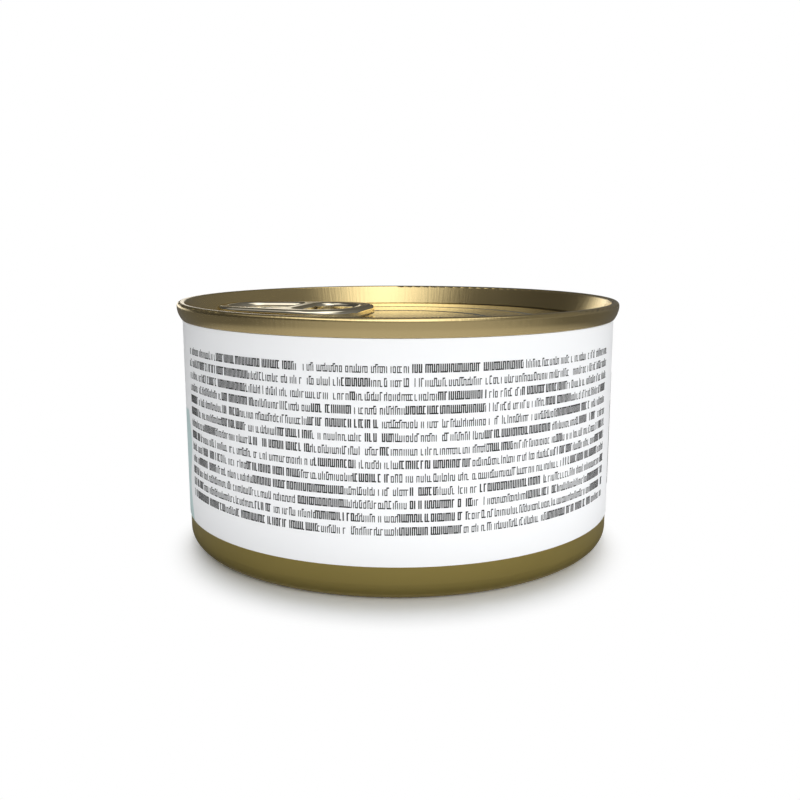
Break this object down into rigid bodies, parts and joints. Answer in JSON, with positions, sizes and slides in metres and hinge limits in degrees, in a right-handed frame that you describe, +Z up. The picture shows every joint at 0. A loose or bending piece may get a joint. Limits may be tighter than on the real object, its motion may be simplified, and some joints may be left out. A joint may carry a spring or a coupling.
{
  "type": "cat food can",
  "caption": "Short round easy-open food can, shut and full, with a wrapped paper label, a double-seamed lid and a pull ring lying on it.",
  "frame": {"origin": "centre of the can's base, on the ground it stands on", "axes": "+Z up through the middle of the lid; the pull ring's nose points towards -X, turned 11.5 degrees to +Y"},
  "size_m": [0.0683, 0.0682, 0.0373],
  "materials": {
    "can_lacquer": "satin",
    "label_paper": "matte",
    "lid_lacquer": "satin",
    "ring_lacquer": "gloss",
    "print_ink": "matte"
  },
  "bodies": {
    "root": {"can_body": "can_lacquer", "paper_label": "label_paper", "lid": "lid_lacquer", "pull_ring": "ring_lacquer"}
  },
  "joints": []
}
